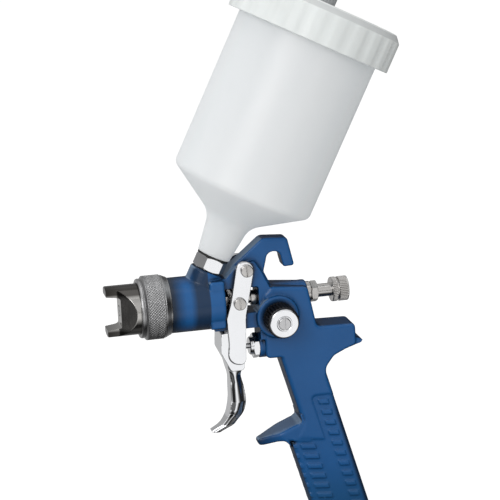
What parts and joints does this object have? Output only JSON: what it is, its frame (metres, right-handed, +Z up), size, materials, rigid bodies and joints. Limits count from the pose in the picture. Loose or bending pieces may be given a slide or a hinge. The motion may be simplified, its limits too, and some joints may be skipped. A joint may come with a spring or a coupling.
{
  "type": "spray gun",
  "caption": "Gravity-fed HVLP spray gun: blue cast body with pistol grip and hanging hook, horned air cap, chrome trigger, knurled controls and a tilted white lidded cup.",
  "frame": {"origin": "centre of the fluid tip's front face, on the spray axis", "axes": "+X from the fluid tip back along the needle, so the gun sprays towards -X; +Z up towards the cup; +Y to the side away from the fan control knob"},
  "size_m": [0.177, 0.0986, 0.3513],
  "materials": {
    "blue_enamel": "semi-gloss blue enamel on a casting",
    "satin_nickel": "satin nickel plate",
    "polished_nickel": "polished dark nickel plate",
    "nylon_black": "moulded",
    "steel": "turned stainless steel",
    "ptfe": "smooth",
    "nickel_plate": "nickel plate",
    "chrome_plate": "bright chrome plate",
    "rubber_black": "moulded",
    "brass": "turned",
    "knob_black": "black anodised",
    "cup_plastic": "milky translucent",
    "nylon_white": "moulded",
    "lid_plastic": "white moulded",
    "grey_plastic": "moulded"
  },
  "bodies": {
    "gun": {"gun_body": "blue_enamel", "air_distributor": "nylon_black", "fluid_nozzle": "steel", "nozzle_gasket": "ptfe", "needle_packing": "ptfe", "packing_nut": "nickel_plate", "fluid_bushing": "nickel_plate", "fluid_lock_nut": "nickel_plate", "needle_spring": "steel", "trigger_pivot_pin": "nickel_plate", "trigger_pivot_screw": "nickel_plate", "air_valve_gland": "chrome_plate", "gland_o_ring": "rubber_black", "air_valve_seat": "brass", "air_valve_spring": "steel", "fan_bushing": "brass", "air_inlet_nipple": "nickel_plate", "inlet_seal": "rubber_black"},
    "air_cap": {"air_cap": "polished_nickel"},
    "cap_ring": {"cap_retaining_ring": "satin_nickel"},
    "trigger": {"trigger": "chrome_plate", "needle_pull_pin": "nickel_plate", "needle_pull_screw": "nickel_plate"},
    "needle": {"fluid_needle": "steel", "needle_collar": "nickel_plate"},
    "air_valve": {"air_valve_stem": "steel", "air_valve_seal": "ptfe"},
    "fluid_knob": {"fluid_knob": "nickel_plate"},
    "fan_knob": {"fan_knob": "knob_black", "fan_knob_face": "chrome_plate", "fan_knob_screw": "steel", "fan_valve_stem": "steel"},
    "cup": {"cup_connector": "chrome_plate", "cup_gasket": "rubber_black", "paint_cup": "cup_plastic", "cup_strainer": "nylon_white"},
    "lid": {"cup_lid": "lid_plastic", "lid_seal": "nylon_white"},
    "vent_cap": {"vent_cap": "grey_plastic"}
  },
  "joints": [
    {"name": "trigger_pull", "type": "hinge", "parent": "gun", "child": "trigger", "pos_m": [0.0735, 0, 0.0192], "axis": [0, -1, 0], "range_deg": [0, 12]},
    {"name": "needle_slide", "type": "slide", "parent": "gun", "child": "needle", "axis": [1, 0, 0], "range_m": [0, 0.004], "deforming": ["needle_spring"]},
    {"name": "air_valve_slide", "type": "slide", "parent": "gun", "child": "air_valve", "axis": [1, 0, 0], "range_m": [0, 0.0101], "deforming": ["air_valve_spring"]},
    {"name": "fluid_knob_turn", "type": "hinge", "parent": "gun", "child": "fluid_knob", "pos_m": [0.12, 0, 0], "axis": [1, 0, 0], "range_deg": [0, 1080]},
    {"name": "fan_knob_turn", "type": "hinge", "parent": "gun", "child": "fan_knob", "pos_m": [0.0912, -0.02, -0.0104], "axis": [0, -1, 0], "range_deg": [0, 720]},
    {"name": "cap_ring_turn", "type": "hinge", "parent": "gun", "child": "cap_ring", "pos_m": [0.02, 0, 0], "axis": [1, 0, 0], "continuous": true},
    {"name": "air_cap_turn", "type": "hinge", "parent": "gun", "child": "air_cap", "pos_m": [0, 0, 0], "axis": [1, 0, 0], "range_deg": [-90, 90]},
    {"name": "cup_turn", "type": "hinge", "parent": "gun", "child": "cup", "pos_m": [0.04305, 0, 0], "axis": [0.4462, 0, 0.8949], "continuous": true},
    {"name": "lid_lift", "type": "slide", "parent": "cup", "child": "lid", "axis": [0.4462, 0, 0.8949], "range_m": [0, 0.06]},
    {"name": "vent_cap_turn", "type": "hinge", "parent": "lid", "child": "vent_cap", "pos_m": [0.12783, 0, 0.17004], "axis": [0.4462, 0, 0.8949], "continuous": true}
  ],
  "couplings": [
    {"joint": "needle_slide", "follows": "trigger_pull", "m_per_rad": 0.019},
    {"joint": "air_valve_slide", "follows": "trigger_pull", "m_per_rad": 0.048}
  ]
}
